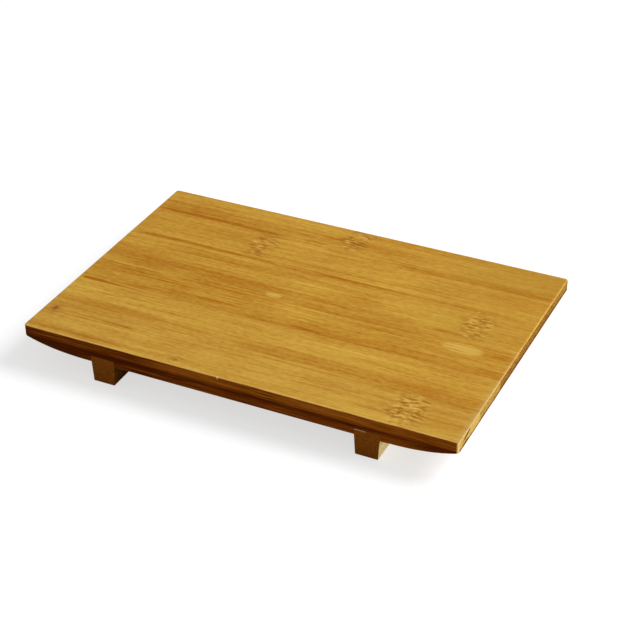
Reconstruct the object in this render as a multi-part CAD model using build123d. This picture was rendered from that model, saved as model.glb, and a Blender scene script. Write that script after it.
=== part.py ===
"""Sushi geta board: a two-ply bamboo board that stands on two housed feet.

The board is glued up from flat bamboo strips. They lie side by side in a top ply and a base ply,
with the seams of one ply staggered against the other's. The blank is then trimmed, its underside
is swept up towards both ends, two housings are cut across it and its edges are eased, so that each
strip carries its own share of those cuts. A foot is two strips glued face to face. It sits in its
housing over the whole width of the board, and its ends are flush with the board's long sides.

Frame: millimetres, +X along the length and the grain, +Y towards the back, +Z up. The origin is on
the table, under the middle of the board.
"""

import os

from build123d import *

# Board
BOARD_LENGTH = 270.0  # along the grain
BOARD_WIDTH = 180.0
TOP_PLY = 6.0  # thickness of the upper layer of strips
BASE_PLY = 7.0  # thickness of the lower layer of strips
END_THICKNESS = 7.0  # what the sweep leaves of the board at each end
CORNER_RADIUS = 2.0  # rounding of the four upright corners
EDGE_ROUND = 0.5  # easing of the edges round the top and the underside

# Strips
STRIP_WIDTH = 31.0  # a whole strip
SEAM_STAGGER = 15.5  # how far the base ply's seams lie in front of the top ply's
LEAST_STRIP = 4.0  # a narrower offcut is not laid, and the strip before it is left wider

# Feet
FOOT_INSET = 45.0  # from an end of the board to the outer side of its foot
FOOT_WIDTH = 15.0  # at the board
SOLE_WIDTH = 13.5  # at the table
FOOT_HEIGHT = 13.0  # from the table to the underside of the board
SOLE_ROUND = 0.6  # easing of the edges round a foot's sole
HOUSING_DEPTH = 4.0  # how far a foot is let into the board
HOUSING_GAP = 0.1  # glue gap at each side of a foot in its housing
SWEEP_LAND = 1.0  # flat underside between a foot and the start of the sweep
SWEEP_HOLD = 1 / 6  # share of the sweep's rise at the handle of its curve next to the end

# Places that follow from the sizes above
UNDERSIDE = FOOT_HEIGHT
HOUSING_TOP = UNDERSIDE + HOUSING_DEPTH
PLY_SEAM = UNDERSIDE + BASE_PLY
BOARD_TOP = PLY_SEAM + TOP_PLY
SWEEP_TIP = BOARD_TOP - END_THICKNESS
END_X = BOARD_LENGTH / 2
FRONT_Y = -BOARD_WIDTH / 2
BACK_Y = BOARD_WIDTH / 2
SWEEP_X = END_X - FOOT_INSET + SWEEP_LAND
FOOT_X = END_X - FOOT_INSET - FOOT_WIDTH / 2
SIDES = {"left": -1, "right": 1}
DOWNWARD = -0.5  # a face whose normal has less rise than this belongs to the underside


def sweep_handles(side: int) -> list[tuple[float, float]]:
    """The handles of one end's sweep, which leaves the underside level and steepens to its tip."""
    length = END_X - SWEEP_X
    rise = SWEEP_TIP - UNDERSIDE
    shares = ((0, 0), (1 / 3, 0), (2 / 3, SWEEP_HOLD), (1, 1))
    return [(side * (SWEEP_X + along * length), UNDERSIDE + up * rise) for along, up in shares]


def underside_rim(board: Part) -> ShapeList[Edge]:
    """The edges where the flat and the swept underside meet the upright sides of the board."""
    underside = [face for face in board.faces() if face.normal_at().Z < DOWNWARD]
    edges = [edge for face in underside for edge in face.edges()]
    return ShapeList(edge for edge in edges if edges.count(edge) == 1)


def board_blank() -> Part:
    """The board with its sweep, housings and eased edges, before it is parted into strips."""
    with BuildPart() as blank:
        with BuildSketch(Plane.XZ):
            with BuildLine():
                Line((-END_X, BOARD_TOP), (END_X, BOARD_TOP))
                Line((END_X, BOARD_TOP), (END_X, SWEEP_TIP))
                Bezier(*sweep_handles(1))
                Line((SWEEP_X, UNDERSIDE), (-SWEEP_X, UNDERSIDE))
                Bezier(*sweep_handles(-1))
                Line((-END_X, SWEEP_TIP), (-END_X, BOARD_TOP))
            make_face()
        extrude(amount=BOARD_WIDTH / 2, both=True)
        fillet(blank.edges().filter_by(Axis.Z), CORNER_RADIUS)
        fillet(blank.faces().sort_by(Axis.Z)[-1].edges(), EDGE_ROUND)
        fillet(underside_rim(blank.part), EDGE_ROUND)
        for side in SIDES.values():
            with Locations((side * FOOT_X, 0, UNDERSIDE + HOUSING_DEPTH / 2)):
                housing_width = FOOT_WIDTH + 2 * HOUSING_GAP
                Box(housing_width, BOARD_WIDTH, HOUSING_DEPTH, mode=Mode.SUBTRACT)
    return blank.part


def strip_spans(front_strip: float) -> list[tuple[float, float]]:
    """The front and back of each strip of a ply, from the front edge of the board to the back.

    front_strip is the width of the front strip. Whole strips follow it, and the last one is
    trimmed to the board.
    """
    seams = [FRONT_Y]
    next_seam = FRONT_Y + front_strip
    while next_seam < BACK_Y - LEAST_STRIP:
        seams.append(next_seam)
        next_seam += STRIP_WIDTH
    seams.append(BACK_Y)
    return list(zip(seams, seams[1:]))


def ply(name: str, blank: Part, bottom: float, top: float, front_strip: float) -> dict[str, Part]:
    """The strips of one ply, parted from the blank between two heights."""
    strips = {}
    for number, (front, back) in enumerate(strip_spans(front_strip), start=1):
        middle = Pos(0, (front + back) / 2, (bottom + top) / 2)
        share = middle * Box(BOARD_LENGTH, back - front, top - bottom)
        strips[f"{name}_strip_{number}"] = blank & share
    return strips


def foot(name: str, side: int) -> dict[str, Part]:
    """The two strips of one foot: the outer one faces the end of the board."""
    half_sole = SOLE_WIDTH / 2
    half_top = FOOT_WIDTH / 2
    with BuildPart() as whole:
        with BuildSketch(Plane.XZ):
            with BuildLine():
                Polyline(
                    (-half_sole, 0),
                    (half_sole, 0),
                    (half_top, UNDERSIDE),
                    (half_top, HOUSING_TOP),
                    (-half_top, HOUSING_TOP),
                    (-half_top, UNDERSIDE),
                    close=True,
                )
            make_face()
        extrude(amount=BOARD_WIDTH / 2, both=True)
        fillet(whole.faces().sort_by(Axis.Z)[0].edges(), SOLE_ROUND)
    strips = {}
    for lamination, towards in (("outer", side), ("inner", -side)):
        half = Pos(towards * FOOT_WIDTH / 2, 0, HOUSING_TOP / 2)
        strip = whole.part & half * Box(FOOT_WIDTH, BOARD_WIDTH, HOUSING_TOP)
        strips[f"{name}_foot_{lamination}"] = Pos(side * FOOT_X, 0, 0) * strip
    return strips


def geta_board() -> dict[str, Part]:
    """Every strip of the board and its feet, by name."""
    blank = board_blank()
    pieces = ply("top", blank, PLY_SEAM, BOARD_TOP, STRIP_WIDTH)
    pieces |= ply("base", blank, UNDERSIDE, PLY_SEAM, STRIP_WIDTH - SEAM_STAGGER)
    for name, side in SIDES.items():
        pieces |= foot(name, side)
    return pieces


os.makedirs("parts", exist_ok=True)
for node, piece in geta_board().items():
    export_step(piece, f"parts/{node}.step")
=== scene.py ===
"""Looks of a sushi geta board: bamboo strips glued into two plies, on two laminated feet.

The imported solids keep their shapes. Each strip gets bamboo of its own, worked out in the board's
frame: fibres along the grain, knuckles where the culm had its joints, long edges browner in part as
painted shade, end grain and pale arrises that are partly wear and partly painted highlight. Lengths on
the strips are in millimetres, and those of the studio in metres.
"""

import logging
import math
from dataclasses import dataclass, replace
from enum import Enum
from typing import Any, Mapping, Optional, TypeVar, Union

import bpy
from mathutils import Matrix, Vector


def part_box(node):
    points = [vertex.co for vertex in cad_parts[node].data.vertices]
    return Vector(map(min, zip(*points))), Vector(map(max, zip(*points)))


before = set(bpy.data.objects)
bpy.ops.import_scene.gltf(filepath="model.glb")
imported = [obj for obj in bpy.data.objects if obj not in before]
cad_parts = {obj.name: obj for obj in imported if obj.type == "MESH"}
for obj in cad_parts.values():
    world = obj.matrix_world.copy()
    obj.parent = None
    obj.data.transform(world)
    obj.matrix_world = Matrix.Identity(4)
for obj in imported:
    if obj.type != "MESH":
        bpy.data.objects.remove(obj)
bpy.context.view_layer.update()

LOG = logging.getLogger("geta_board")
MM_PER_METRE = 1000.0
HALF = 0.5  # middle of a noise texture's range

Value = Union["Socket", float]
Triple = tuple[float, float, float]
Ramp = tuple[float, float]  # where a share is 0, and where it is 1
Weights = tuple[float, float]  # of the streaks, and of the fine fibres
Either = TypeVar("Either")

WHITE: Triple = (1.0, 1.0, 1.0)
OPAQUE = 1.0

# The curve of a display: a straight toe, then a power
DISPLAY_FULL = 255
TOE_END = 0.04045
TOE_SLOPE = 12.92
CURVE_SHIFT = 0.055
CURVE_POWER = 2.4


def linear(red: int, green: int, blue: int) -> Triple:
    """Turn a display colour into the linear one that shaders work in.

    Args:
        red: red part, 0 to 255.
        green: green part, 0 to 255.
        blue: blue part, 0 to 255.

    Returns:
        The linear colour.
    """
    parts = []
    for part in (red, green, blue):
        share = part / DISPLAY_FULL
        if share <= TOE_END:
            parts.append(share / TOE_SLOPE)
        else:
            parts.append(((share + CURVE_SHIFT) / (1 + CURVE_SHIFT)) ** CURVE_POWER)
    return (parts[0], parts[1], parts[2])


class Socket:
    """A node's output, with operators that add Math nodes."""

    def __init__(self, graph: "Graph", port: bpy.types.NodeSocket) -> None:
        """Wrap one output of a node."""
        self.graph = graph
        self.port = port

    def __add__(self, other: Value) -> "Socket":
        """Sum of two values."""
        return self.graph.math("ADD", self, other)

    def __radd__(self, other: Value) -> "Socket":
        """Sum with a plain number first."""
        return self.graph.math("ADD", other, self)

    def __sub__(self, other: Value) -> "Socket":
        """Difference of two values."""
        return self.graph.math("SUBTRACT", self, other)

    def __rsub__(self, other: Value) -> "Socket":
        """Difference from a plain number."""
        return self.graph.math("SUBTRACT", other, self)

    def __mul__(self, other: Value) -> "Socket":
        """Product of two values."""
        return self.graph.math("MULTIPLY", self, other)

    def __rmul__(self, other: Value) -> "Socket":
        """Product with a plain number first."""
        return self.graph.math("MULTIPLY", other, self)

    def __truediv__(self, other: Value) -> "Socket":
        """Quotient of two values."""
        return self.graph.math("DIVIDE", self, other)

    def __rtruediv__(self, other: Value) -> "Socket":
        """Quotient of a plain number."""
        return self.graph.math("DIVIDE", other, self)

    def __pow__(self, other: Value) -> "Socket":
        """Power of a value."""
        return self.graph.math("POWER", self, other)

    def __rpow__(self, other: Value) -> "Socket":
        """Power of a plain number."""
        return self.graph.math("POWER", other, self)

    def __abs__(self) -> "Socket":
        """Size of a value without its sign."""
        return self.graph.math("ABSOLUTE", self)


class Graph:
    """A node tree that is filled from Python expressions."""

    MIX_FIRST = 6  # numbers of a Mix node's sockets for colours
    MIX_SECOND = 7
    MIX_RESULT = 2

    def __init__(self, tree: bpy.types.NodeTree) -> None:
        """Start with an empty tree."""
        tree.nodes.clear()
        self.tree = tree

    def node(
        self,
        kind: str,
        settings: Optional[Mapping[str, Any]] = None,
        inputs: Optional[Mapping[Union[str, int], Any]] = None,
    ) -> bpy.types.Node:
        """Add a node, set it up and feed its sockets.

        Args:
            kind: Blender's name for the type of node.
            settings: properties that are set before the sockets.
            inputs: a value, colour or Socket for each named or numbered input.

        Returns:
            The new node.
        """
        made = self.tree.nodes.new(kind)
        for name, setting in (settings or {}).items():
            setattr(made, name, setting)
        for key, value in (inputs or {}).items():
            port = made.inputs[key]
            if isinstance(value, Socket):
                self.tree.links.new(value.port, port)
                continue
            port.default_value = (*value, OPAQUE) if port.type == "RGBA" else value
        return made

    def out(self, node: bpy.types.Node, key: Union[str, int] = 0) -> Socket:
        """Wrap one output of a node by its name or number."""
        return Socket(self, node.outputs[key])

    def math(self, operation: str, first: Value, second: Value = 0.0) -> Socket:
        """Add a Math node, whose second value goes unused where the operation has only one."""
        return self.out(self.node("ShaderNodeMath", {"operation": operation}, {0: first, 1: second}))

    def smooth(self, value: Value, low: float, high: float) -> Socket:
        """Ease from 0 to 1 while a value goes from low to high, which may be the smaller."""
        settings = {"interpolation_type": "SMOOTHSTEP"}
        return self.out(self.node("ShaderNodeMapRange", settings, {0: value, 1: low, 2: high}))

    def largest(self, *values: Socket) -> Socket:
        """Find the largest of some values.

        Args:
            values: one value or more.

        Returns:
            The largest.
        """
        result = values[0]
        for value in values[1:]:
            result = self.math("MAXIMUM", result, value)
        return result

    def vector(self, x: Value, y: Value, z: Value) -> Socket:
        """Join three values into a vector."""
        return self.out(self.node("ShaderNodeCombineXYZ", None, {0: x, 1: y, 2: z}))

    def parts(self, vector: Socket) -> tuple[Socket, Socket, Socket]:
        """Part a vector into its three values."""
        made = self.node("ShaderNodeSeparateXYZ", None, {0: vector})
        return self.out(made, 0), self.out(made, 1), self.out(made, 2)

    def scaled(self, vector: Socket, factor: Triple, shift: Triple = (0.0, 0.0, 0.0)) -> Socket:
        """Multiply a vector part by part, and add a shift to it."""
        settings = {"operation": "MULTIPLY_ADD"}
        return self.out(self.node("ShaderNodeVectorMath", settings, {0: vector, 1: factor, 2: shift}))

    def noise(self, vector: Socket, detail: float, distortion: float) -> Socket:
        """A soft noise from 0 to 1, with a mean of one half and one feature to a unit of its vector."""
        inputs = {"Vector": vector, "Scale": 1.0, "Detail": detail, "Distortion": distortion}
        return self.out(self.node("ShaderNodeTexNoise", {"noise_dimensions": "3D"}, inputs))

    def mix(self, share: Value, first: Any, second: Any) -> Socket:
        """Mix two colours.

        Args:
            share: how much of the second colour is used.
            first: first colour.
            second: second colour.

        Returns:
            The mixed colour.
        """
        settings = {"data_type": "RGBA", "clamp_factor": True}
        inputs = {0: share, self.MIX_FIRST: first, self.MIX_SECOND: second}
        return self.out(self.node("ShaderNodeMix", settings, inputs), self.MIX_RESULT)


class Grain(Enum):
    """The way in which a piece's fibres run."""

    ALONG_BOARD = "x"
    ACROSS_BOARD = "y"

    def turned(self, x: Either, y: Either) -> tuple[Either, Either]:
        """Put what lies along the grain first, and what lies across it second."""
        return (x, y) if self is Grain.ALONG_BOARD else (y, x)


@dataclass(frozen=True)
class Layer:
    """A noise whose features are drawn out along the grain."""

    along: float  # size of a feature
    across: float
    start: tuple[Optional[float], Optional[float], Optional[float]]  # None where a seed goes in
    weight: float = 1.0
    detail: float = 1.0  # how many finer noises are added
    stir: float = 0.0  # how much the noise is distorted

    def shrink(self) -> Triple:
        """What turns millimetres into features."""
        return (1 / self.along, 1 / self.across, 1 / self.across)

    def start_at(self, seed: float) -> Triple:
        """Where the noise is entered with a seed."""
        first, second, third = (seed if part is None else part for part in self.start)
        return (first, second, third)


@dataclass(frozen=True)
class Oval:
    """An oval place on a strip's face: its middle, its size and how strongly it shows."""

    along: float
    across: float
    length: float
    width: float
    strength: float = 1.0


@dataclass(frozen=True)
class Knuckle(Oval):
    """A joint of the culm: short dark and pale strokes, in fibres of another tone."""

    lift: float = 0.0  # paler above 0, darker below


@dataclass(frozen=True)
class Patch(Oval):
    """A pale oval in the face, or a pale chip in its upper arris."""


@dataclass(frozen=True)
class Knot(Oval):
    """A small dark knot with a ragged rim."""


@dataclass(frozen=True)
class Band:
    """A run of fibres that is paler than its strip, or darker where its shade is below 0.

    A straight band follows the strip's edge, and any other one wanders with the fibres.
    """

    across: float
    width: float
    start: float
    end: float
    shade: float
    straight: bool = False


@dataclass(frozen=True)
class EndMark:
    """A dark smear on the end grain at the right end of a strip.

    It rises by lean for each millimetre towards the back.
    """

    across: float
    up: float
    width: float
    height: float
    lean: float
    strength: float = 1.0


@dataclass(frozen=True)
class StripLook:
    """What sets one strip apart from its neighbours."""

    seed: float  # where it enters the noise
    tone: float = 0.0  # paler above 0, darker below
    fibre: float = 1.0  # strength of its streaks
    edge_painted_shade: float = 0.0  # how much painted shade darkens its long edges towards the ends
    end_tone: float = 0.0  # like tone, on the end grain
    olive: float = 0.0  # share of olive towards the right end
    straw: float = 0.0  # share of straw all over the face
    dull: float = 0.0  # share of straw on the upper arris of the right end
    corner: float = 0.0  # how strongly the upright corner at the right end carries a painted highlight
    seam_front: bool = True  # whether a neighbour is glued to its front
    seam_back: bool = True  # whether a neighbour is glued to its back
    knuckles: tuple[Knuckle, ...] = ()
    bands: tuple[Band, ...] = ()
    ribs: tuple[Band, ...] = ()  # bands in which the streaks are stronger
    patches: tuple[Patch, ...] = ()
    chips: tuple[Patch, ...] = ()
    knots: tuple[Knot, ...] = ()
    end_marks: tuple[EndMark, ...] = ()


@dataclass(frozen=True)
class BambooFinish:
    """Oiled bamboo: the colours of its faces and edges, and its sheen."""

    name: str
    grain: Grain
    pale: Triple  # fibres of the broad faces
    dark: Triple
    side_pale: Triple  # fibres of the long edges, darker and redder in part as painted shade
    side_dark: Triple
    end_pale: Triple  # end grain
    end_dark: Triple
    arris: Triple  # pale arrises, partly wear and partly painted highlight
    seam: Triple  # glue line to a neighbour
    roughness: float
    specular: float
    coat: float
    coat_roughness: float
    rim: float = 0.0  # width of the pale line along the board's own edges, partly wear and partly painted highlight
    seam_height: Optional[float] = None  # height of the seam between the plies
    glue: Optional[Triple] = None  # glue that shows at the upper end of a foot


@dataclass(frozen=True)
class MarkColours:
    """Colours of the marks on the strips."""

    fleck: Triple = linear(140, 79, 20)  # dark strokes and stains of a knuckle
    patch: Triple = linear(220, 183, 88)  # pale strokes of a knuckle, and pale ovals
    knot: Triple = linear(146, 74, 20)
    olive: Triple = linear(180, 141, 54)
    straw: Triple = linear(193, 167, 114)  # dry and dull places
    smear: Triple = linear(84, 52, 26)
    bare_and_highlight: Triple = linear(246, 204, 136)  # chips, and the painted highlight on the upright corner at the right end


MARKS = MarkColours()
PLY_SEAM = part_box("top_strip_1")[0].z * MM_PER_METRE  # height of the seam between the plies

# Parts of the normal that tell the faces apart
FACING: Ramp = (0.6, 0.85)  # towards an end or a long side
LEANING: Ramp = (0.15, 0.35)  # a little towards an end, or up or down
ON_ARRIS: Ramp = (0.965, 0.86)  # the largest part, which is 1 on a flat face

# Fibres
DRIFT = Layer(95.0, 30.0, (None, 3.1, 0.7), weight=3.0)  # how far they wander, in millimetres
SWERVE = Layer(9.0, 7.0, (None, 8.4, 5.2), weight=6.0)  # the same beside a knuckle
SWERVE_LONGER = 2.2  # reach of the swerve against the size of its knuckle
SWERVE_WIDER = 1.3
SWERVE_REACH: Ramp = (1.0, 0.2)
WIDE = Layer(160.0, 4.2, (None, None, 1.3), weight=0.78, detail=2.0)
CLOUD = Layer(75.0, 19.0, (None, 2.2, None), weight=0.6)
STREAK = Layer(40.0, 1.3, (None, 4.4, None), weight=0.55, detail=2.0)
FINE = Layer(15.0, 0.5, (7.7, None, None), weight=0.36)
DASH = Layer(4.0, 1.7, (3.3, None, 5.5), weight=0.6)
VESSELS: Ramp = (0.42, 0.3)  # the darkest streaks
VESSEL_SHADE = 0.12
BAND_FADE = 14.0  # longest fade at the ends of a band
BAND_FADE_SHARE = 1 / 3  # of the band's length, where that is shorter
BAND_EDGE: Ramp = (1.25, 0.25)

# Knuckles
KNUCKLE_SEED = 0.31  # seed for each millimetre along the grain
KNUCKLE_EDGE = Layer(8.0, 5.0, (None, 6.1, 2.9), weight=0.9)
KNUCKLE_RIM: Ramp = (1.25, 0.45)
KNUCKLE_LIFT: Ramp = (1.5, 0.6)
STROKES = Layer(4.8, 1.9, (2.5, None, 9.1), stir=0.3)
DARK_STROKES: Ramp = (0.52, 0.68)
DARK_SHARE = 0.85
DARK_ROUGHNESS = 0.1
DARK_DEPTH = 0.5
PALE_STROKES: Ramp = (0.46, 0.32)
PALE_SHARE = 0.8
STAIN = Layer(7.0, 6.0, (8.8, 1.7, None))
STAINED: Ramp = (0.42, 0.62)
STAIN_SHARE = 0.3

# Other marks of the broad faces
OLIVE_REACH: Ramp = (27.0, 107.0)  # along the board
PATCH_RIM: Ramp = (1.1, 0.82)
PATCH_FIBRES: Ramp = (0.36, 0.64)
PATCH_LEAST = 0.15  # share between the pale fibres
PATCH_MORE = 0.6  # what a pale fibre adds
KNOT_EDGE = Layer(2.6, 2.0, (None, 0.6, 4.3), weight=1.3)
KNOT_CORE: Ramp = (1.15, 0.25)
KNOT_HALO: Ramp = (2.4, 0.8)
HALO_SHARE = 0.3
SEAM_WIDTH: Ramp = (0.55, 0.1)
SEAM_BREAKS = Layer(34.0, 1.0, (0.0, 0.0, None), detail=2.0)
SEAM_RUNS: Ramp = (0.4, 0.62)
SEAM_SHARE = 0.42

# Long edges
SIDE_TONE = 0.14
SIDE_FIBRES: Weights = (1.9, 1.3)
# Painted shade on the front long edges: darkest towards the left end, and half as much at the right end
FADE_LEFT: Ramp = (32.0, -130.0)  # along the board
FADE_RIGHT: Ramp = (98.0, 126.0)
FADE_RIGHT_SHARE = 0.5
PLY_LINE_DROP = 0.9  # from the seam between the plies down to its dark line
PLY_LINE: Ramp = (2.6, 0.3)
PLY_LINE_SHADE = 0.38

# End grain
END_FIBRES: Weights = (0.6, 1.6)
BASE_END: Ramp = (1.6, -0.2)  # height over the seam between the plies
BASE_END_SHADE = 0.5
RIGHT_HALF: Ramp = (0.0, 1.0)  # along the board
SMEAR_EDGE = 0.9  # how ragged the streaks make a smear
SMEAR_RIM: Ramp = (1.1, 0.4)
GLUE_DEPTH: Ramp = (0.9, 0.5)  # under the top of the foot
GLUE_REACH: Ramp = (-0.4, 1.6)  # from the foot's right side
GLUE_SHARE = 0.9

# Wear, and painted highlight on the arrises
ARRIS_SHARE = 0.85
END_ARRIS_LOSS = 0.4  # how much less pale paint the arrises of an end get, as the light already falls on them
ARRIS_FIBRES: Ramp = (0.2, 0.6)
RIM_CORE = 1 / 3  # share of the rim that is palest
RIM_SHARE = 0.35
FRONT_RIM = 1.4  # the front, which stands in shade, gets more of the painted highlight
CHIP_DEPTH: Ramp = (1.4, 0.8)  # under the face
CHIP_RIM: Ramp = (1.1, 0.5)
DULL_REACH: Ramp = (4.0, 1.0)  # from the right end
DULL_FACE = 0.4  # share of the dulling on the face beside the arris

# Sheen
RELIEF: Weights = (0.6, 0.4)
SHEEN_FIBRES: Weights = (0.25, 0.15)
BUMP_STRENGTH = 0.35
BUMP_DEPTH = 0.0001  # in metres


class BambooShader:
    """Builds the bamboo of one strip from a finish and the strip's own look."""

    def __init__(self, finish: BambooFinish, look: StripLook, node: str) -> None:
        """Start the strip's material, read the point's place on it and lay its fibres.

        Args:
            finish: the bamboo that the strip is made of.
            look: what sets the strip apart.
            node: the strip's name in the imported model.
        """
        self.finish = finish
        self.look = look
        self.material = bpy.data.materials.new(f"{finish.name}_{node}")
        self.material.use_nodes = True
        self.graph = Graph(self.material.node_tree)
        self._read_place(node)
        self._read_facing()
        self.bent = self._wandering()
        self.fibres = self.graph.vector(self.along, self.bent, self.up)
        self.streak = self._noise(STREAK, self.fibres)
        self.fine = self._noise(FINE, self.fibres)
        self.relief = HALF + self._fibre_swing(RELIEF)
        self.dark_strokes: list[Socket] = []

    def _read_place(self, node: str) -> None:
        """Read the point's place, and how far it is from the strip's own edges.

        Args:
            node: the strip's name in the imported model.
        """
        graph = self.graph
        grain = self.finish.grain
        coordinates = graph.out(graph.node("ShaderNodeTexCoord"), "Object")
        x, y, self.up = graph.parts(graph.scaled(coordinates, (MM_PER_METRE,) * 3))
        self.along, self.across = grain.turned(x, y)
        self.here = graph.vector(self.along, self.across, self.up)
        low, high = (corner * MM_PER_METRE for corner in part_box(node))
        _, front = grain.turned(low.x, low.y)
        tip, back = grain.turned(high.x, high.y)
        self.to_front = self.across - front
        self.to_back = back - self.across
        self.to_tip = tip - self.along
        self.depth = high.z - self.up

    def _read_facing(self) -> None:
        """Tell the ends, long sides, broad faces and rounded arrises apart by the surface's normal."""
        graph = self.graph
        normal = graph.out(graph.node("ShaderNodeNewGeometry"), "Normal")
        x, y, upward = (abs(part) for part in graph.parts(normal))
        endwise, sidewise = self.finish.grain.turned(x, y)
        self.end = graph.smooth(endwise, *FACING)
        self.side = graph.smooth(sidewise, *FACING)
        self.broad = (1 - self.side) * (1 - self.end)
        self.arris = graph.smooth(graph.largest(endwise, sidewise, upward), *ON_ARRIS)
        self.end_arris = self.arris * graph.smooth(endwise, *LEANING)
        self.level = graph.smooth(upward, *LEANING)

    def _right_half(self) -> Socket:
        """1 on the right half of the board, and 0 on the left one."""
        return self.graph.smooth(self.along, *RIGHT_HALF)

    def _spot(self, oval: Oval, longer: float = 1.0, wider: float = 1.0) -> Socket:
        """Measure how far a point is from the middle of an oval.

        Args:
            oval: the place on the face.
            longer: what its length is multiplied by.
            wider: what its width is multiplied by.

        Returns:
            The distance, 1 at the rim.
        """
        reach = (self.along - oval.along) / (longer * oval.length / 2)
        breadth = (self.across - oval.across) / (wider * oval.width / 2)
        return (reach * reach + breadth * breadth) ** 0.5

    def _noise(self, layer: Layer, place: Socket, seed: Optional[float] = None) -> Socket:
        """Read a layer of noise.

        Args:
            layer: the noise.
            place: where it is read, in millimetres.
            seed: where it is entered, or None for the strip's own seed.

        Returns:
            The noise, 0 to 1.
        """
        start = layer.start_at(self.look.seed if seed is None else seed)
        features = self.graph.scaled(place, layer.shrink(), start)
        return self.graph.noise(features, layer.detail, layer.stir)

    def _swing(self, layer: Layer, place: Socket, seed: Optional[float] = None) -> Socket:
        """How far a layer of noise departs from its middle, with the layer's weight."""
        return layer.weight * (self._noise(layer, place, seed) - HALF)

    def _fibre_swing(self, weights: Weights) -> Socket:
        """How far the streaks and the fine fibres depart from their middle, each with its weight."""
        return weights[0] * (self.streak - HALF) + weights[1] * (self.fine - HALF)

    def _wandering(self) -> Socket:
        """Find the place across the grain as the fibres see it: they wander, and swerve at a knuckle.

        Returns:
            The wandering place.
        """
        bent = self.across + self._swing(DRIFT, self.here)
        if self.look.knuckles:
            swerve = self._swing(SWERVE, self.here)
            for knuckle in self.look.knuckles:
                spot = self._spot(knuckle, SWERVE_LONGER, SWERVE_WIDER)
                bent = bent + swerve * self.graph.smooth(spot, *SWERVE_REACH)
        return bent

    def _band(self, band: Band) -> Socket:
        """Find how much of a band lies at a point.

        Args:
            band: the run of fibres.

        Returns:
            Its share, with its shade.
        """
        graph = self.graph
        line = self.across if band.straight else self.bent
        off = abs(line - band.across) / (band.width / 2)
        fade = min(BAND_FADE, BAND_FADE_SHARE * (band.end - band.start)) / 2
        inside = graph.smooth(self.along, band.start - fade, band.start + fade)
        inside = inside * graph.smooth(self.along, band.end + fade, band.end - fade)
        return band.shade * graph.smooth(off, *BAND_EDGE) * inside

    def _tone(self) -> Socket:
        """Put the layers of fibres together, with the strip's bands and the lift at its knuckles.

        Returns:
            The tone, 0 for the dark fibres and 1 for the pale ones.
        """
        graph = self.graph
        strength: Value = self.look.fibre
        for rib in self.look.ribs:
            strength = strength + self._band(rib)
        vessels = VESSEL_SHADE * graph.smooth(self.streak, *VESSELS)
        tone = HALF + self.look.tone + FINE.weight * (self.fine - HALF)
        for layer in (WIDE, CLOUD, DASH):
            tone = tone + self._swing(layer, self.fibres)
        tone = tone + strength * (STREAK.weight * (self.streak - HALF) - vessels)
        streaky = HALF + self.streak  # with a mean of 1
        for band in self.look.bands:
            tone = tone + self._band(band) * streaky
        for knuckle in self.look.knuckles:
            tone = tone + knuckle.lift * graph.smooth(self._spot(knuckle), *KNUCKLE_LIFT)
        return tone

    def _mark_knuckle(self, colour: Socket, knuckle: Knuckle) -> Socket:
        """Lay the short dark and pale strokes of one knuckle over a colour, on a faint stain.

        Args:
            colour: colour of the face.
            knuckle: the joint of the culm.

        Returns:
            The colour with the knuckle.
        """
        graph = self.graph
        seed = self.look.seed + KNUCKLE_SEED * knuckle.along
        flat = graph.vector(self.along, (self.across + self.bent) / 2, self.up)
        strokes = self._noise(STROKES, flat, seed)
        stain = graph.smooth(self._noise(STAIN, self.fibres, seed), *STAINED)
        spot = self._spot(knuckle) + self._swing(KNUCKLE_EDGE, self.fibres, seed)
        inside = knuckle.strength * graph.smooth(spot, *KNUCKLE_RIM)
        dark = inside * graph.smooth(strokes, *DARK_STROKES)
        pale = inside * graph.smooth(strokes, *PALE_STROKES)
        self.dark_strokes.append(dark)
        colour = graph.mix(STAIN_SHARE * inside * stain, colour, MARKS.fleck)
        colour = graph.mix(PALE_SHARE * pale, colour, MARKS.patch)
        return graph.mix(DARK_SHARE * dark, colour, MARKS.fleck)

    def _mark_patch(self, colour: Socket, patch: Patch) -> Socket:
        """Lay one pale oval over a colour, more on the pale fibres than between them.

        Args:
            colour: colour of the face.
            patch: the pale oval.

        Returns:
            The colour with the oval.
        """
        graph = self.graph
        spot = self._spot(patch) + self._fibre_swing(RELIEF)
        inside = patch.strength * graph.smooth(spot, *PATCH_RIM)
        share = PATCH_LEAST + PATCH_MORE * graph.smooth(self.relief, *PATCH_FIBRES)
        return graph.mix(inside * share, colour, MARKS.patch)

    def _mark_knot(self, colour: Socket, knot: Knot) -> Socket:
        """Lay one ragged knot over a colour, in a faint halo.

        Args:
            colour: colour of the face.
            knot: the knot.

        Returns:
            The colour with the knot.
        """
        graph = self.graph
        spot = self._spot(knot)
        halo = HALO_SHARE * graph.smooth(spot, *KNOT_HALO)
        core = graph.smooth(spot + self._swing(KNOT_EDGE, self.here), *KNOT_CORE)
        return graph.mix(knot.strength * graph.largest(halo, core), colour, MARKS.knot)

    def _mark_end(self, colour: Socket, mark: EndMark) -> Socket:
        """Lay one smear over the colour of the right end.

        Args:
            colour: colour of the end grain.
            mark: the smear.

        Returns:
            The colour with the smear.
        """
        graph = self.graph
        aside = self.across - mark.across
        breadth = aside / (mark.width / 2)
        rise = (self.up - mark.up - mark.lean * aside) / (mark.height / 2)
        spot = (breadth * breadth + rise * rise) ** 0.5 + SMEAR_EDGE * (self.streak - HALF)
        share = mark.strength * graph.smooth(spot, *SMEAR_RIM) * self._right_half()
        return graph.mix(share, colour, MARKS.smear)

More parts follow.
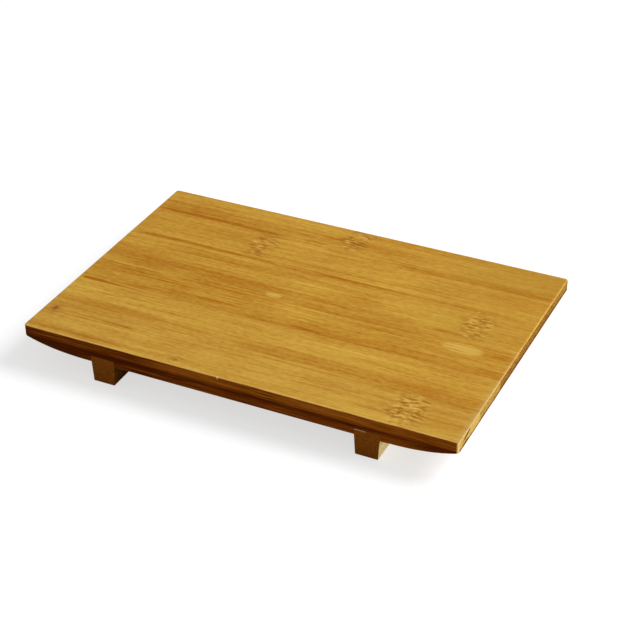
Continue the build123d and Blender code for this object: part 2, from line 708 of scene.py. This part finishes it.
    def _seamed(self, colour: Socket) -> Socket:
        """Darken the glue lines to the neighbouring strips, here and there along their length.

        Args:
            colour: colour of the face.

        Returns:
            The colour with its glue lines.
        """
        graph = self.graph
        line = graph.vector(self.along, 0.0, 0.0)
        runs = SEAM_SHARE * graph.smooth(self._noise(SEAM_BREAKS, line), *SEAM_RUNS)
        if self.look.seam_front:
            colour = graph.mix(runs * graph.smooth(self.to_front, *SEAM_WIDTH), colour, self.finish.seam)
        if self.look.seam_back:
            colour = graph.mix(runs * graph.smooth(self.to_back, *SEAM_WIDTH), colour, self.finish.seam)
        return colour

    def _face_colour(self) -> Socket:
        """Colour the broad faces, with their marks.

        Returns:
            The colour.
        """
        graph = self.graph
        look = self.look
        colour = graph.mix(self._tone(), self.finish.dark, self.finish.pale)
        if look.olive:
            share = look.olive * graph.smooth(self.along, *OLIVE_REACH)
            colour = graph.mix(share, colour, MARKS.olive)
        if look.straw:
            colour = graph.mix(look.straw, colour, MARKS.straw)
        for knuckle in look.knuckles:
            colour = self._mark_knuckle(colour, knuckle)
        for patch in look.patches:
            colour = self._mark_patch(colour, patch)
        for knot in look.knots:
            colour = self._mark_knot(colour, knot)
        return self._seamed(colour)

    def _side_colour(self) -> Socket:
        """Colour the long edges: fibres in lines, browner at the seam between the plies, and darker and
        redder overall in part as painted shade.

        Returns:
            The colour.
        """
        graph = self.graph
        finish = self.finish
        tone = HALF + SIDE_TONE + self._fibre_swing(SIDE_FIBRES)
        # Painted shade: the long edges darken towards the ends
        if self.look.edge_painted_shade:
            right = FADE_RIGHT_SHARE * graph.smooth(self.along, *FADE_RIGHT)
            tone = tone - self.look.edge_painted_shade * (graph.smooth(self.along, *FADE_LEFT) + right)
        if finish.seam_height is not None:
            off = abs(self.up - finish.seam_height + PLY_LINE_DROP)
            tone = tone - PLY_LINE_SHADE * graph.smooth(off, *PLY_LINE)
        return graph.mix(tone, finish.side_dark, finish.side_pale)

    def _end_colour(self) -> Socket:
        """Colour the end grain: speckled, browner in the base ply, with its smears and glue.

        Returns:
            The colour.
        """
        graph = self.graph
        finish = self.finish
        tone = HALF + self.look.end_tone + self._fibre_swing(END_FIBRES)
        if finish.seam_height is not None:
            tone = tone - BASE_END_SHADE * graph.smooth(self.up - finish.seam_height, *BASE_END)
        colour = graph.mix(tone, finish.end_dark, finish.end_pale)
        for mark in self.look.end_marks:
            colour = self._mark_end(colour, mark)
        if finish.glue is not None:
            line = graph.smooth(self.depth, *GLUE_DEPTH) * graph.smooth(self.to_back, *GLUE_REACH)
            colour = graph.mix(GLUE_SHARE * line, colour, finish.glue)
        return colour

    def _rim_line(self, gap: Socket) -> Socket:
        """Share of the pale line, partly wear and partly painted highlight, beside one edge of the
        board.
        """
        return self.graph.smooth(gap, self.finish.rim, RIM_CORE * self.finish.rim)

    def _rim(self) -> Socket:
        """Lay a pale line, partly wear and partly painted highlight, along those of the board's own
        edges that the strip reaches.

        Returns:
            The share of the line.
        """
        lines = [self._rim_line(self.to_tip)]
        if not self.look.seam_front:
            lines.append(FRONT_RIM * self._rim_line(self.to_front))
        if not self.look.seam_back:
            lines.append(self._rim_line(self.to_back))
        return self.graph.largest(*lines) * self.broad

    def _wear_and_highlight(self, colour: Socket) -> Socket:
        """Pale the arrises, partly as wear and partly as painted highlight, and lay the chips, the
        painted highlight on the upright corner and the dull end over them.

        Args:
            colour: colour of all faces.

        Returns:
            The colour with its wear and painted highlights.
        """
        graph = self.graph
        look = self.look
        loss = END_ARRIS_LOSS + max(0.0, look.end_tone)
        # Pale arrises: partly wear, partly painted highlight
        worn_and_highlight = ARRIS_SHARE * self.arris - loss * self.end_arris
        if self.finish.rim:
            worn_and_highlight = graph.largest(worn_and_highlight, RIM_SHARE * self._rim())
        colour = graph.mix(worn_and_highlight * graph.smooth(self.fine, *ARRIS_FIBRES), colour, self.finish.arris)
        # Painted highlight on the upright corner at the right end
        if look.corner:
            corner = self.end_arris * (1 - self.level) * self._right_half()
            colour = graph.mix(look.corner * corner, colour, MARKS.bare_and_highlight)
        for chip in look.chips:
            chipped = graph.smooth(self._spot(chip), *CHIP_RIM) * graph.smooth(self.depth, *CHIP_DEPTH)
            colour = graph.mix(chip.strength * chipped, colour, MARKS.bare_and_highlight)
        if look.dull:
            near_tip = self.level * graph.smooth(self.to_tip, *DULL_REACH)
            rubbed = near_tip * graph.largest(DULL_FACE * self.broad, self.end_arris)
            colour = graph.mix(look.dull * rubbed, colour, MARKS.straw)
        return colour

    def build(self) -> bpy.types.Material:
        """Put the strip's bamboo together.

        Returns:
            The material.
        """
        graph = self.graph
        finish = self.finish
        colour = graph.mix(self.side, self._face_colour(), self._side_colour())
        colour = self._wear_and_highlight(graph.mix(self.end, colour, self._end_colour()))
        roughness = finish.roughness + self._fibre_swing(SHEEN_FIBRES)
        height = self.relief
        for stroke in self.dark_strokes:
            roughness = roughness + DARK_ROUGHNESS * stroke
            height = height - DARK_DEPTH * stroke
        relief = {"Strength": BUMP_STRENGTH, "Distance": BUMP_DEPTH, "Height": height}
        inputs = {
            "Base Color": colour,
            "Roughness": roughness,
            "Specular IOR Level": finish.specular,
            "Coat Weight": finish.coat * self.broad * (1 - self.arris),
            "Coat Roughness": finish.coat_roughness,
            "Normal": graph.out(graph.node("ShaderNodeBump", None, relief)),
        }
        shader = graph.node("ShaderNodeBsdfPrincipled", None, inputs)
        graph.node("ShaderNodeOutputMaterial", None, {"Surface": graph.out(shader)})
        return self.material


def dress(node: str, finish: BambooFinish, look: StripLook) -> None:
    """Give one packed strip its bamboo.

    Args:
        node: the strip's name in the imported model.
        finish: the bamboo that it is made of.
        look: what sets the strip apart.
    """
    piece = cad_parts[node]
    material = BambooShader(finish, look, node).build()
    for slot in piece.material_slots:
        slot.material = material
    LOG.info("%s: %s bamboo, %d knuckles", node, finish.name, len(look.knuckles))


HONEY = BambooFinish(
    name="honey",
    grain=Grain.ALONG_BOARD,
    pale=linear(217, 175, 70),
    dark=linear(168, 101, 2),
    side_pale=linear(202, 115, 30),
    side_dark=linear(122, 54, 8),
    end_pale=linear(198, 167, 86),
    end_dark=linear(100, 51, 2),
    arris=linear(244, 196, 106),
    seam=linear(142, 87, 24),
    roughness=0.46,
    specular=0.0,
    coat=0.15,
    coat_roughness=0.35,
    rim=1.6,
    seam_height=PLY_SEAM,
)
# The long edges are darker and redder than the bamboo, in part as painted shade. This is strongest at
# the front and paler on the strip at the back edge, and the base ply is darker still.
HONEY_BACK = replace(HONEY, side_pale=linear(198, 134, 46), side_dark=linear(132, 74, 12))
AMBER = replace(HONEY, name="amber", side_pale=linear(176, 90, 22), side_dark=linear(98, 40, 8))
AMBER_BACK = replace(AMBER, side_pale=linear(182, 112, 32), side_dark=linear(112, 58, 8))

NATURAL = BambooFinish(
    name="natural",
    grain=Grain.ACROSS_BOARD,
    pale=linear(226, 206, 146),
    dark=linear(198, 168, 98),
    side_pale=linear(226, 206, 146),
    side_dark=linear(198, 168, 98),
    end_pale=linear(190, 114, 34),
    end_dark=linear(120, 61, 12),
    arris=linear(216, 176, 104),
    seam=linear(120, 76, 24),
    roughness=0.5,
    specular=0.0,
    coat=0.06,
    coat_roughness=0.4,
)
# A darker copy of the natural bamboo for the inner strips of the feet: painted shade on the sides that
# stand under the board.
UMBER = replace(
    NATURAL,
    name="umber",
    pale=linear(150, 92, 30),
    dark=linear(104, 56, 12),
    side_pale=linear(150, 92, 30),
    side_dark=linear(104, 56, 12),
)
GLUE = linear(236, 178, 120)

# The strips of the serving face, from the front of the board to the back
TOP_LOOKS: tuple[StripLook, ...] = (
    StripLook(
        seed=11.3,
        tone=0.02,
        edge_painted_shade=0.58,
        end_tone=0.26,
        olive=0.15,
        straw=0.045,
        dull=0.8,
        corner=0.9,
        seam_front=False,
        knuckles=(
            Knuckle(98.8, -74.8, 22.5, 31.0, 1.0, 0.06),
            Knuckle(-37.0, -85.0, 13.5, 10.0, 0.5),
        ),
        bands=(
            Band(-61.5, 5.0, -38.0, 85.5, -0.12),
            Band(-61.6, 2.6, -124.0, -56.0, -0.3, True),
            Band(-61.4, 2.6, 1.0, 52.0, -0.26, True),
            Band(-64.9, 2.6, 30.0, 78.0, -0.18, True),
            Band(-78.0, 14.0, 7.0, 74.5, 0.1),
            Band(-63.7, 2.4, 91.0, 100.5, -0.5),
            Band(-63.7, 2.4, 103.0, 108.5, -0.5),
            Band(-75.5, 2.0, 103.0, 109.5, -0.4),
            Band(-85.5, 2.0, 103.0, 110.5, -0.4),
            Band(-74.5, 44.0, -160.0, -78.0, -0.06, True),
            Band(-74.5, 44.0, -72.5, -12.5, 0.12, True),
            Band(-74.5, 44.0, 55.0, 97.0, 0.09, True),
            Band(-88.6, 4.0, -136.0, -20.0, 0.22, True),
        ),
        ribs=(Band(-69.0, 7.0, -120.0, -45.5, 1.4),),
        knots=(Knot(-128.0, -66.5, 5.6, 7.84, 0.85),),
        chips=(Patch(-7.8, -89.8, 1.6, 1.5),),
        end_marks=(
            EndMark(-78.8, 24.1, 12.5, 2.6, 0.19),
            EndMark(-81.0, 20.4, 14.0, 2.4, 0.0, 0.9),
        ),
    ),
    StripLook(
        seed=23.9,
        tone=0.05,
        end_tone=-0.02,
        straw=0.02,
        dull=0.55,
        bands=(
            Band(-29.2, 3.6, -131.5, -118.0, -1.0, True),
            Band(-29.5, 2.4, -129.0, -109.0, -0.5, True),
            Band(-29.6, 1.6, -122.5, -93.0, -0.35, True),
            Band(-53.5, 11.0, -13.5, 136.0, -0.18),
            Band(-53.0, 10.0, -135.0, -66.5, -0.1),
            Band(-43.5, 44.0, -8.0, 26.0, 0.06, True),
            Band(-43.5, 44.0, 100.0, 160.0, -0.04, True),
        ),
        ribs=(Band(-41.0, 10.0, -116.5, -57.0, 1.2),),
        knots=(Knot(-22.0, -58.0, 1.6, 2.24, 0.5),),
    ),
    StripLook(
        seed=37.1,
        tone=-0.06,
        end_tone=-0.3,
        olive=0.1,
        dull=0.25,
        fibre=1.2,
        bands=(
            Band(1.0, 7.0, -136.0, -20.0, -0.13),
            Band(-3.8, 3.0, -2.0, 92.0, -0.26, True),
            Band(-7.1, 3.0, -80.0, -12.0, -0.25, True),
            Band(-26.6, 4.0, 2.0, 98.0, -0.2, True),
            Band(-20.6, 4.0, -150.0, -90.0, 0.16, True),
            Band(-1.4, 2.6, -104.0, -65.0, -0.2, True),
            Band(-9.0, 7.0, -136.0, -23.0, -0.08),
            Band(-23.0, 8.0, 37.5, 136.0, -0.06),
            Band(-6.0, 5.0, 117.0, 136.0, -0.2),
            Band(-21.0, 2.5, -57.0, -36.0, -0.18),
            Band(-12.5, 44.0, -76.0, -11.0, -0.1, True),
            Band(-12.5, 44.0, -3.5, 58.5, 0.09, True),
        ),
        ribs=(Band(-6.0, 22.0, -136.0, 1.5, 0.9),),
        patches=(
            Patch(104.5, -7.2, 26.0, 10.4),
            Patch(-18.0, -0.8, 11.0, 4.4, 1.3),
        ),
    ),
    StripLook(
        seed=41.7,
        tone=-0.01,
        end_tone=-0.3,
        olive=0.25,
        knuckles=(Knuckle(104.0, 17.5, 22.0, 35.0, 0.75, 0.04),),
        bands=(
            Band(18.0, 18.0, 40.5, 94.0, 0.12),
            Band(5.5, 6.0, -136.0, 67.0, -0.15),
            Band(10.4, 6.0, -150.0, -80.0, 0.2, True),
            Band(32.2, 3.0, -129.0, -33.0, -0.42, True),
            Band(32.8, 3.0, -4.0, 50.0, -0.3, True),
            Band(33.2, 2.4, 50.0, 130.0, -0.2, True),
            Band(4.5, 3.0, 81.0, 96.5, -0.3),
            Band(18.5, 44.0, -160.0, -12.0, -0.03, True),
            Band(18.5, 44.0, 104.0, 160.0, 0.06, True),
        ),
    ),
    StripLook(
        seed=53.3,
        tone=0.02,
        end_tone=-0.3,
        olive=0.2,
        knuckles=(Knuckle(-51.0, 49.0, 19.0, 33.0, 0.72, -0.06),),
        bands=(
            Band(64.6, 3.0, -132.5, -44.5, -0.38, True),
            Band(61.4, 5.0, 37.5, 136.0, -0.28, True),
            Band(60.4, 3.0, -12.0, 30.0, -0.2, True),
            Band(47.0, 9.0, -8.5, 58.5, 0.1),
            Band(49.5, 44.0, -160.0, -48.0, -0.03, True),
            Band(49.5, 44.0, -40.0, -8.0, 0.05, True),
            Band(49.5, 44.0, 100.0, 160.0, -0.07, True),
        ),
    ),
    StripLook(
        seed=67.7,
        tone=-0.06,
        end_tone=-0.2,
        olive=0.4,
        seam_back=False,
        knuckles=(Knuckle(0.0, 78.0, 18.0, 34.0, 0.75, -0.06),),
        bands=(
            Band(65.4, 3.0, -132.5, -44.5, -0.38, True),
            Band(66.5, 5.0, 37.5, 136.0, -0.08),
            Band(66.0, 3.0, -29.0, -15.5, -0.3),
            Band(75.5, 4.0, -130.5, -59.0, -0.1),
            Band(77.5, 44.0, -160.0, -104.0, -0.05, True),
        ),
    ),
)

# The strips under the serving face, which carry the swept ends and the feet's housings
BASE_LOOKS: tuple[StripLook, ...] = (
    StripLook(
        seed=71.1,
        edge_painted_shade=0.58,
        corner=0.9,
        seam_front=False,
        end_marks=(EndMark(-81.0, 20.0, 14.0, 2.4, 0.0, 0.9),),
    ),
    StripLook(seed=73.9, tone=0.05, knuckles=(Knuckle(-62.0, -60.0, 18.0, 26.0, 0.8),)),
    StripLook(seed=79.3, tone=-0.05, knuckles=(Knuckle(38.0, -28.0, 18.0, 27.0, 0.8),)),
    StripLook(seed=83.7, tone=0.02, fibre=1.3),
    StripLook(seed=89.9, tone=-0.03, knuckles=(Knuckle(-15.0, 34.0, 18.0, 27.0, 0.9),)),
    StripLook(seed=97.1, tone=0.06, knuckles=(Knuckle(112.0, 65.0, 17.0, 26.0, 0.7),)),
    StripLook(seed=101.3, seam_back=False),
)


@dataclass
class Ply:
    """One layer of strips, side by side from the front of the board to the back."""

    name: str
    finish: BambooFinish
    back_finish: BambooFinish  # of the strip at the back edge, whose long edge carries less painted shade
    looks: tuple[StripLook, ...]

    def dress(self) -> None:
        """Give each strip its bamboo."""
        for number, look in enumerate(self.looks, start=1):
            finish = self.finish if look.seam_back else self.back_finish
            dress(f"{self.name}_strip_{number}", finish, look)


@dataclass
class Foot:
    """One foot: two strips glued face to face, with their fibres across the board."""

    side: str
    seed: float
    glue: Optional[Triple] = None
    outer: BambooFinish = NATURAL
    # The inner strips get the darker copy as painted shade under the board.
    inner: BambooFinish = UMBER
    seed_step: float = 5.3  # from the outer strip's seed to the inner one's

    def dress(self) -> None:
        """Give each strip its bamboo."""
        inner = replace(self.inner, glue=self.glue)
        dress(f"{self.side}_foot_outer", self.outer, StripLook(seed=self.seed))
        dress(f"{self.side}_foot_inner", inner, StripLook(seed=self.seed + self.seed_step))


@dataclass
class Studio:
    """A pale floor, soft light from the right and behind, and the camera."""

    floor_size: float = 8.0
    floor_seen: Triple = (0.46, 0.46, 0.46)
    floor_bounce: Triple = (0.42, 0.41, 0.4)
    floor_glow: float = 0.65
    floor_fade: Ramp = (0.5, 1.2)  # from the middle of the floor to plain white
    sky_strength: float = 0.28
    key_place: Triple = (2.2, 1.38, 2.62)
    key_size: tuple[float, float] = (1.9, 1.9)
    key_power: float = 128.0
    card_place: Triple = (0.95, 0.08, 0.11)
    card_size: tuple[float, float] = (0.5, 0.2)
    card_power: float = 5.0
    azimuth: float = 25.74  # degrees
    elevation: float = 32.88
    roll: float = -0.52
    target: Triple = (0.0187, -0.0137, 0.026)
    distance: float = 0.953
    lens: float = 92.5  # millimetres
    sensor_width: float = 36.0

    @staticmethod
    def _seen(graph: Graph) -> Socket:
        """Tell the camera, reflections and views through glass from other light.

        Args:
            graph: the node tree that it is told in.

        Returns:
            1 where one of them looks, and 0 for other light.
        """
        path = graph.node("ShaderNodeLightPath")
        rays = ("Is Camera Ray", "Is Glossy Ray", "Is Transmission Ray")
        return graph.largest(*(graph.out(path, ray) for ray in rays))

    def _floor_material(self) -> bpy.types.Material:
        """Paint the floor white as the camera sees it, and grey for the light that it throws back.

        Returns:
            The material.
        """
        material = bpy.data.materials.new("pale_floor")
        material.use_nodes = True
        graph = Graph(material.node_tree)
        bounce = graph.out(graph.node("ShaderNodeBsdfDiffuse", None, {"Color": self.floor_bounce}))
        paint = graph.out(graph.node("ShaderNodeBsdfDiffuse", None, {"Color": self.floor_seen}))
        dim = {"Color": WHITE, "Strength": self.floor_glow}
        glow = graph.out(graph.node("ShaderNodeEmission", None, dim))
        near = graph.out(graph.node("ShaderNodeAddShader", None, {0: paint, 1: glow}))
        white = graph.out(graph.node("ShaderNodeEmission", None, {"Color": WHITE, "Strength": 1.0}))
        place = graph.out(graph.node("ShaderNodeTexCoord"), "Object")
        reach = graph.node("ShaderNodeVectorMath", {"operation": "LENGTH"}, {0: place})
        far = graph.smooth(graph.out(reach, "Value"), *self.floor_fade)
        bright = graph.out(graph.node("ShaderNodeMixShader", None, {0: far, 1: near, 2: white}))
        both = graph.node("ShaderNodeMixShader", None, {0: self._seen(graph), 1: bounce, 2: bright})
        graph.node("ShaderNodeOutputMaterial", None, {"Surface": graph.out(both)})
        return material

    def lay_floor(self) -> None:
        """Lay the floor that the board stands on."""
        half = self.floor_size / 2
        mesh = bpy.data.meshes.new("floor")
        corners = [(-half, -half, 0.0), (half, -half, 0.0), (half, half, 0.0), (-half, half, 0.0)]
        mesh.from_pydata(corners, [], [(0, 1, 2, 3)])
        mesh.materials.append(self._floor_material())
        floor = bpy.data.objects.new("floor", mesh)
        bpy.context.scene.collection.objects.link(floor)

    @staticmethod
    def _lamp(name: str, place: Triple, size: tuple[float, float], power: float) -> None:
        """Hang a soft lamp that faces the board.

        Args:
            name: the lamp's name.
            place: where it hangs, in metres.
            size: its width and height in metres.
            power: its power in watts.
        """
        lamp = bpy.data.lights.new(name, "AREA")
        lamp.shape = "RECTANGLE"
        lamp.size, lamp.size_y = size
        lamp.energy = power
        hung = bpy.data.objects.new(name, lamp)
        hung.location = place
        hung.rotation_euler = (-Vector(place)).to_track_quat("-Z", "Y").to_euler()
        hung.visible_camera = False
        bpy.context.scene.collection.objects.link(hung)

    def light(self) -> None:
        """Hang the key light and a low card at the right, and set the sky."""
        self._lamp("key", self.key_place, self.key_size, self.key_power)
        self._lamp("card", self.card_place, self.card_size, self.card_power)
        world = bpy.data.worlds.new("studio")
        world.use_nodes = True
        graph = Graph(world.node_tree)
        dim = {"Color": WHITE, "Strength": self.sky_strength}
        soft = graph.out(graph.node("ShaderNodeBackground", None, dim))
        white = graph.out(graph.node("ShaderNodeBackground", None, {"Color": WHITE, "Strength": 1.0}))
        sky = graph.node("ShaderNodeMixShader", None, {0: self._seen(graph), 1: soft, 2: white})
        graph.node("ShaderNodeOutputWorld", None, {"Surface": graph.out(sky)})
        bpy.context.scene.world = world
        bpy.context.scene.view_settings.view_transform = "Standard"

    def place_camera(self) -> None:
        """Stand the camera in front of the board and to its right, a little tilted."""
        turn = math.radians(self.azimuth)
        rise = math.radians(self.elevation)
        lean = math.radians(self.roll)
        flat = math.cos(rise)
        back = Vector((math.sin(turn) * flat, -math.cos(turn) * flat, math.sin(rise)))
        level = Vector((0.0, 0.0, 1.0)).cross(back).normalized()
        upright = back.cross(level)
        right = level * math.cos(lean) + upright * math.sin(lean)
        above = upright * math.cos(lean) - level * math.sin(lean)
        data = bpy.data.cameras.new("camera")
        data.lens = self.lens
        data.sensor_width = self.sensor_width
        camera = bpy.data.objects.new("camera", data)
        stance = Matrix((right, above, back)).transposed().to_4x4()
        camera.matrix_world = Matrix.Translation(Vector(self.target) + back * self.distance) @ stance
        bpy.context.scene.collection.objects.link(camera)
        bpy.context.scene.camera = camera


def main() -> None:
    """Dress the board and its feet, and set up the studio."""
    logging.basicConfig(level=logging.INFO, format="%(message)s")
    Ply("top", HONEY, HONEY_BACK, TOP_LOOKS).dress()
    Ply("base", AMBER, AMBER_BACK, BASE_LOOKS).dress()
    Foot("left", seed=107.3).dress()
    Foot("right", seed=127.9, glue=GLUE).dress()
    studio = Studio()
    studio.lay_floor()
    studio.light()
    studio.place_camera()


if __name__ == "__main__":
    main()
